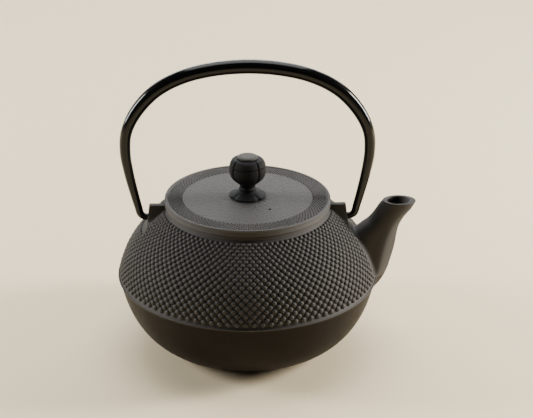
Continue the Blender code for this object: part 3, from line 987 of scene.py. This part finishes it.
def knob_outline():
    """The knob's line from the top hole down over the ball and the neck to the foot, ungrooved."""
    top, foot = KNOB_HIGH.z, KNOB_LOW.z
    ball = [(6.4, top), (8.8, top - 0.3), (10.1, top - 1.2), (11.0, top - 2.9), (11.5, top - 4.4)]
    ball += [(11.75, top - 6.2), (11.75, top - 8.4), (11.3, top - 10.6), (10.2, top - 12.9)]
    ball += [(8.0, top - 15.2), (5.9, top - 16.8), (4.9, top - 18.2), (4.8, top - 19.2)]
    bead = [(5.2, top - 19.8), (5.55, top - 20.4), (5.45, top - 21.0), (5.2, top - 21.5)]
    flare = [(5.9, FOOT_TOP - 0.6), (7.6, FOOT_TOP - 1.5), (10.0, FOOT_TOP - 2.3), (11.5, FOOT_TOP - 2.9)]
    knots = [Vector(point) for point in ball + bead + flare + [(11.8, foot + 0.4)]]
    line = [tuple(point) for point in smooth_run(knots, 6)]
    return [(RIVET_HOLE, top)] + line + [(11.6, foot), (RIVET_HOLE, foot)]


def rounded_gap(across, up, corner):
    """Distance from the edge of a petal whose corner is rounded, given both distances to its sides."""
    if across < corner and up < corner:
        return corner - math.hypot(corner - across, corner - up)
    return min(across, up)


def groove_knob(bm, depth):
    """Cuts the ball into petals above and below its equator, and scallops the foot."""
    for vert in bm.verts:
        radius = math.hypot(vert.co.x, vert.co.y) / MM
        if radius < RIVET_HOLE + 2.0:
            continue
        sector = 2 * math.pi / PETALS
        turn = (math.atan2(vert.co.y, vert.co.x) - GROOVE_ANGLE) % sector
        off = min(turn, sector - turn)
        level = vert.co.z / MM
        if level > KNOB_HIGH.z - BALL_DEPTH:
            gap = rounded_gap(off * radius, abs(level - EQUATOR), PETAL_CORNER)
            pull = depth * math.exp(-((gap / GROOVE_HALF_WIDTH) ** 2)) * smoothstep(4.8, 7.5, radius)
            pull += 0.25 * (1 - off / (sector / 2)) ** 3 * smoothstep(5.5, 10.0, radius)
        elif level < FOOT_TOP:
            pull = 1.15 * math.exp(-((off / 0.13) ** 2)) * smoothstep(5.4, 10.5, radius)
        else:
            pull = 0.0
        vert.co.xy *= 1 - pull / radius
    return bm


def rivet_outline():
    """The rivet's line: domed flat head, stem and peened tail."""
    head = KNOB_HIGH.z + 0.3
    top = RIVET_HIGH.z
    tail = WASHER_LOW.z - 0.3
    low = RIVET_LOW.z
    dome = [(0.0, top), (3.5, top - 0.03), (5.3, top - 0.12), (6.1, top - 0.4), (6.45, top - 0.85)]
    stem = [(6.4, head + 0.1), (6.2, head), (1.9, head), (1.9, tail), (3.3, tail)]
    return dome + stem + [(3.3, low + 0.6), (2.7, low + 0.15), (1.6, low), (0.0, low)]


def washer_outline():
    """The washer under the lid."""
    low, high = WASHER_LOW.z, WASHER_HIGH.z
    reach = WASHER_HIGH.x
    return [
        (RIVET_HOLE, high), (reach - 0.2, high), (reach, high - 0.2), (reach, low + 0.2),
        (reach - 0.2, low), (RIVET_HOLE, low),
    ]


# --- Bail ------------------------------------------------------------------------------------------


def bail_rings():
    """Round sections along the bail from one pin's tip over the apex to the other's."""
    far_side = [Vector((-x, z, radius)) for x, z, radius in BAIL_SIDE[:0:-1]]
    rod = smooth_run(far_side + [Vector(point) for point in BAIL_SIDE], BAIL_SPAN_STEPS)
    tips = [(63.6, PIN_RADIUS), (PIN_TIP + 0.5, PIN_RADIUS), (PIN_TIP + 0.1, 1.7), (PIN_TIP, 1.2)]
    pin = [Vector((x, PIVOT_HEIGHT, radius)) for x, radius in tips]
    path = [Vector((-x, z, radius)) for x, z, radius in pin[::-1]] + rod + pin
    rings = []
    for index, (x, z, radius) in enumerate(path):
        before, after = path[max(index - 1, 0)], path[min(index + 1, len(path) - 1)]
        along = Vector((after.x - before.x, 0.0, after.y - before.y)).normalized()
        outward = Vector((-along.z, 0.0, along.x))
        centre = Vector((x, 0.0, z))
        ring = []
        for corner in range(BAIL_SIDES):
            angle = 2 * math.pi * corner / BAIL_SIDES
            side = Vector((0, math.sin(angle), 0))
            ring.append((centre + radius * (outward * math.cos(angle) + side)) * MM)
        rings.append(ring)
    return rings


# --- Infuser ---------------------------------------------------------------------------------------


def basket_rim_outline():
    """The rolled flange that hangs on the ledge, with the skirt below it."""
    low, high = RIM_LOW.z, RIM_HIGH.z
    reach = RIM_HIGH.x
    outer, inner = 42.3, 41.6
    roll = arc_points((reach - 0.5, high - 0.5), 0.5, -90, 90, 7)
    return [(outer, low), (outer, high - 1.3), (outer + 0.3, high - 1.0)] + roll + [
        (inner + 1.0, high), (inner + 0.3, high - 0.25), (inner, high - 0.9), (inner, low),
    ]


def basket_radius(level):
    """Radius of the mesh wall's wires at a height: the basket narrows towards its floor."""
    share = min(max((level - BASKET_LOW.z) / (RIM_LOW.z - NARROWS_BELOW_RIM - BASKET_LOW.z), 0.0), 1.0)
    bottom = DISC_HIGH.x + 0.5
    return bottom + (BASKET_HIGH.x - bottom) * share - 0.35


def wire_mesh():
    """A four-sided wire of length 1 along Z."""
    return mesh_from("wire", cylinder(WIRE / 2 * MM, 1.0, 4))


def wire_between(start, end):
    """The matrix that lays the wire between two points in millimetres."""
    along = end - start
    spin = Vector((0, 0, 1)).rotation_difference(along).to_matrix().to_4x4()
    stretch = Matrix.Diagonal((1.0, 1.0, along.length * MM, 1.0))
    return Matrix.Translation((start + end) / 2 * MM) @ spin @ stretch


def wall_wires(pitch):
    """The matrices of the upright wires, each bent once where the basket starts to narrow."""
    low, bend, high = BASKET_LOW.z + 0.2, RIM_LOW.z - NARROWS_BELOW_RIM, BASKET_HIGH.z - 0.2
    count = round(2 * math.pi * basket_radius(high) / pitch)
    for index in range(count):
        angle = 2 * math.pi * index / count
        out = Vector((math.cos(angle), math.sin(angle), 0.0))
        knees = [out * (basket_radius(z) - WIRE / 2) + Vector((0, 0, z)) for z in (low, bend, high)]
        yield wire_between(knees[0], knees[1])
        yield wire_between(knees[1], knees[2])


def mesh_wall(pitch):
    """The basket's wall: level ring wires round upright wires."""
    bm = bmesh.new()
    half = WIRE / 2
    verts, edges = [], []
    for level in steps_between(BASKET_LOW.z + 0.2, BASKET_HIGH.z - 0.2, pitch):
        radius = basket_radius(level) + half
        section = [(-half, 0.0), (0.0, -half), (half, 0.0), (0.0, half)]
        ring = [bm.verts.new(((radius + r) * MM, 0.0, (level + z) * MM)) for r, z in section]
        edges += [bm.edges.new((ring[corner], ring[(corner + 1) % 4])) for corner in range(4)]
        verts += ring
    bmesh.ops.spin(
        bm, geom=verts + edges, cent=(0, 0, 0), axis=(0, 0, 1), angle=2 * math.pi, steps=RING_WIRE_STEPS,
        use_merge=True,
    )
    add_copies(bm, wire_mesh(), wall_wires(pitch))
    bmesh.ops.recalc_face_normals(bm, faces=bm.faces)
    return bm


def floor_wires(pitch):
    """The matrices of two crossed layers of wires, cut to a circle."""
    reach = DISC_HIGH.x
    level = (DISC_LOW.z + DISC_HIGH.z) / 2
    low, high = level - WIRE / 2, level + WIRE / 2
    for place in steps_between(-reach + 0.6, reach - 0.6, pitch):
        half = math.sqrt(reach**2 - place**2)
        yield wire_between(Vector((place, -half, low)), Vector((place, half, low)))
        yield wire_between(Vector((-half, place, high)), Vector((half, place, high)))


def mesh_floor(pitch):
    """The basket's floor of crossed straight wires."""
    bm = bmesh.new()
    add_copies(bm, wire_mesh(), floor_wires(pitch))
    bmesh.ops.recalc_face_normals(bm, faces=bm.faces)
    return bm


def base_band_outline():
    """The band that clasps the wall's foot and turns in under the floor."""
    low, high = BAND_LOW.z, BAND_HIGH.z
    outer = BAND_HIGH.x
    inner, lip = outer - 0.6, DISC_HIGH.x + 0.5 - 3.2
    return [
        (lip, low), (outer - 0.5, low), (outer - 0.14, low + 0.14), (outer, low + 0.5), (outer, high - 0.15),
        (outer - 0.15, high), (inner, high), (inner, low + 0.6), (lip, low + 0.6),
    ]


# --- Operators -------------------------------------------------------------------------------------


class TEAPOT_OT_pot_shell(Operator):
    """Makes the pot's wall: bowl, belt, shoulder, collar and the enamelled inside"""

    bl_idname = "teapot.pot_shell"
    bl_label = "Pot shell"

    def execute(self, context):
        shell = pot_shell(context.scene.teapot_sizes.stud_height / MM)
        bm = carved(shell, [spout_bore(), lug_bore(1), lug_bore(-1)])
        for face in bm.faces:
            middle = face.calc_center_median() / MM
            radius = math.hypot(middle.x, middle.y)
            face.material_index = shell_finish(round(radius, 1), round(middle.z, 1))
        finishes = ["cast_iron", "enamel_lining", "bowl_iron"]
        add_piece("pot_shell", bm, "pot", finishes, ["pot_body"])
        return {"FINISHED"}


class TEAPOT_OT_studs(Operator):
    """Sets the studs on the pot's shoulder, row by row"""

    bl_idname = "teapot.studs"
    bl_label = "Shoulder studs"

    def execute(self, context):
        bm = bmesh.new()
        add_copies(bm, unit_dome(9, 4, STUD_SKIRT), stud_places(context.scene.teapot_sizes))
        add_piece("shoulder_studs", bm, "pot", ["cast_iron"], sharp=60.0)
        return {"FINISHED"}


class TEAPOT_OT_spout(Operator):
    """Makes the spout with its open bore"""

    bl_idname = "teapot.spout"
    bl_label = "Spout"

    def execute(self, context):
        ground = ground_tree(context.scene.teapot_sizes.stud_height / MM)
        bm = carved(spout_skin(ground), [belly_cutter(), spout_bore()])
        change = FINISH_CHANGE * MM
        bmesh.ops.bisect_plane(
            bm, geom=bm.verts[:] + bm.edges[:] + bm.faces[:], dist=1e-7,
            plane_co=(0, 0, change), plane_no=(0, 0, 1),
        )
        for face in bm.faces:
            face.material_index = int(face.calc_center_median().z < change)
        add_piece("spout", bm, "pot", ["cast_iron", "bowl_iron"])
        return {"FINISHED"}


class TEAPOT_OT_lugs(Operator):
    """Makes the two lugs that hold the bail"""

    bl_idname = "teapot.lugs"
    bl_label = "Lugs"

    def execute(self, context):
        ground = ground_tree(context.scene.teapot_sizes.stud_height / MM)
        for name, side in (("spout_side_lug", 1), ("far_side_lug", -1)):
            bm = carved(lug_skin(side, ground), [belly_cutter(), lug_bore(side)])
            add_piece(name, bm, "pot", ["cast_iron"], sharp=50.0)
        return {"FINISHED"}


class TEAPOT_OT_lid(Operator):
    """Makes the lid with its grain, its vent and its ring of small studs"""

    bl_idname = "teapot.lid"
    bl_label = "Lid"

    def execute(self, context):
        bm = carved(roughen_plate(turned(lid_outline(), LID_STEPS)), [vent_cutter()])
        add_piece("lid_plate", bm, "lid", ["lid_iron"], ["lid"])
        studs = bmesh.new()
        places = lid_stud_places(context.scene.teapot_sizes.studs_per_row)
        add_copies(studs, unit_dome(8, 3, LID_STUD_SKIRT), places)
        add_piece("lid_studs", studs, "lid", ["lid_iron"], sharp=60.0)
        return {"FINISHED"}


class TEAPOT_OT_knob(Operator):
    """Makes the petalled knob, its rivet and the washer below"""

    bl_idname = "teapot.knob"
    bl_label = "Knob"

    def execute(self, context):
        depth = context.scene.teapot_sizes.groove_depth / MM
        bm = groove_knob(turned(knob_outline(), KNOB_STEPS), depth)
        add_piece("petal_knob", bm, "lid", ["knob_black"], ["knob"])
        rivet = turned(rivet_outline(), RIVET_STEPS)
        add_piece("rivet", rivet, "lid", ["rivet_iron"], ["knob_rivet"], sharp=50.0)
        washer = turned(washer_outline(), RIVET_STEPS)
        add_piece("washer", washer, "lid", ["rivet_iron"], ["rivet_washer"])
        return {"FINISHED"}


class TEAPOT_OT_bail(Operator):
    """Makes the lacquered bail handle"""

    bl_idname = "teapot.bail"
    bl_label = "Bail"

    def execute(self, context):
        add_piece("bail", lofted(bail_rings()), "handle", ["black_lacquer"], ["bail_handle"])
        return {"FINISHED"}


class TEAPOT_OT_infuser(Operator):
    """Makes the steel basket: rim, wire mesh wall and floor, and the band that holds them"""

    bl_idname = "teapot.infuser"
    bl_label = "Infuser"

    def execute(self, context):
        pitch = context.scene.teapot_sizes.mesh_pitch / MM
        pieces = [
            ("basket_rim", turned(basket_rim_outline(), BASKET_STEPS), "infuser_rim"),
            ("basket_wall", mesh_wall(pitch), "infuser_mesh_wall"),
            ("basket_band", turned(base_band_outline(), BASKET_STEPS), "infuser_base_band"),
            ("basket_floor", mesh_floor(pitch), "infuser_mesh_floor"),
        ]
        for name, bm, node in pieces:
            add_piece(name, bm, "infuser", ["stainless_steel"], [node])
        return {"FINISHED"}


class TEAPOT_OT_stage(Operator):
    """Makes the pale floor, the soft lights and the camera"""

    bl_idname = "teapot.stage"
    bl_label = "Stage"

    def execute(self, context):
        bm = bmesh.new()
        bmesh.ops.create_grid(bm, x_segments=2, y_segments=2, size=4.0)
        mesh = mesh_from("floor", bm)
        mesh.materials.append(finish_named("pale_floor"))
        floor = linked("floor", mesh)
        for light in LIGHTS:
            add_light(*light)
        add_world(context.scene)
        add_camera(context.scene)
        return {"FINISHED"}


# Each light: its name, its place and what it faces in metres, its two sides in metres, its power
# in watts and its colour.
LIGHTS = [
    ("right_strip", (1.15, 0.12, 0.45), (0.0, 0.0, 0.07), (0.26, 0.55), 34.0, (1.0, 0.98, 0.95)),
    ("left_strip", (-1.15, 0.12, 0.45), (0.0, 0.0, 0.07), (0.26, 0.55), 18.0, (0.97, 0.98, 1.0)),
    ("back_strip", (0.0, 1.4, 0.72), (0.0, 0.0, 0.10), (2.4, 0.30), 22.0, (0.97, 0.99, 1.0)),
    ("top_softbox", (0.0, 0.5, 1.6), (0.0, 0.0, 0.0), (1.4, 1.4), 26.0, (1.0, 1.0, 1.0)),
]
WORLD_COLOUR = (0.52, 0.57, 0.62, 1.0)
WORLD_STRENGTH = 0.10
CAMERA_DISTANCE = 1.0
CAMERA_ELEVATION = math.radians(24.12)
CAMERA_AZIMUTH = math.radians(-1.0)
CAMERA_TARGET = Vector((0.0, 0.0, 0.0911))
CAMERA_LENS = 105.45
CAMERA_SHIFT = 0.0355


def aimed(place, target):
    """The turn that makes a light or a camera at a place look at a target."""
    return (Vector(target) - Vector(place)).to_track_quat("-Z", "Y").to_euler()


def add_light(name, place, target, sides, power, tint):
    """One rectangular softbox."""
    light = bpy.data.lights.new(name, "AREA")
    light.shape = "RECTANGLE"
    light.size, light.size_y = sides
    light.energy = power
    light.color = tint
    obj = linked(name, light)
    obj.location = place
    obj.rotation_euler = aimed(place, target)


def add_world(scene):
    """A dim, slightly blue room."""
    world = bpy.data.worlds.new("room")
    world.use_nodes = True
    background = world.node_tree.nodes["Background"]
    background.inputs["Color"].default_value = WORLD_COLOUR
    background.inputs["Strength"].default_value = WORLD_STRENGTH
    scene.world = world


def add_camera(scene):
    """The camera, a little to the far side of the pot and above it."""
    lens = bpy.data.cameras.new("camera")
    lens.lens = CAMERA_LENS
    lens.shift_x = CAMERA_SHIFT
    back = Vector((
        math.sin(CAMERA_AZIMUTH) * math.cos(CAMERA_ELEVATION),
        -math.cos(CAMERA_AZIMUTH) * math.cos(CAMERA_ELEVATION),
        math.sin(CAMERA_ELEVATION),
    ))
    obj = linked("camera", lens)
    obj.location = CAMERA_TARGET + back * CAMERA_DISTANCE
    obj.rotation_euler = aimed(obj.location, CAMERA_TARGET)
    scene.camera = obj


OPERATORS = [
    TEAPOT_OT_stage, TEAPOT_OT_pot_shell, TEAPOT_OT_studs, TEAPOT_OT_spout, TEAPOT_OT_lugs, TEAPOT_OT_lid,
    TEAPOT_OT_knob, TEAPOT_OT_bail, TEAPOT_OT_infuser,
]


class TEAPOT_PT_panel(Panel):
    """Lists the pot's sizes, colours and pieces"""

    bl_idname = "TEAPOT_PT_panel"
    bl_label = "Teapot"
    bl_space_type = "VIEW_3D"
    bl_region_type = "UI"
    bl_category = "Teapot"

    def draw(self, context):
        layout = self.layout
        for group in (context.scene.teapot_sizes, context.scene.teapot_colours):
            for name in group.__annotations__:
                layout.prop(group, name)
        for operator in OPERATORS:
            layout.operator(operator.bl_idname)


CLASSES = [TeapotSizes, TeapotColours, *OPERATORS, TEAPOT_PT_panel]


def register():
    for cls in CLASSES:
        bpy.utils.register_class(cls)
    bpy.types.Scene.teapot_sizes = PointerProperty(type=TeapotSizes)
    bpy.types.Scene.teapot_colours = PointerProperty(type=TeapotColours)


def unregister():
    del bpy.types.Scene.teapot_colours
    del bpy.types.Scene.teapot_sizes
    for cls in reversed(CLASSES):
        bpy.utils.unregister_class(cls)


def main():
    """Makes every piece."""
    register()
    bpy.ops.teapot.stage()
    bpy.ops.teapot.pot_shell()
    bpy.ops.teapot.studs()
    bpy.ops.teapot.spout()
    bpy.ops.teapot.lugs()
    bpy.ops.teapot.lid()
    bpy.ops.teapot.knob()
    bpy.ops.teapot.bail()
    bpy.ops.teapot.infuser()


if __name__ == "__main__":
    main()
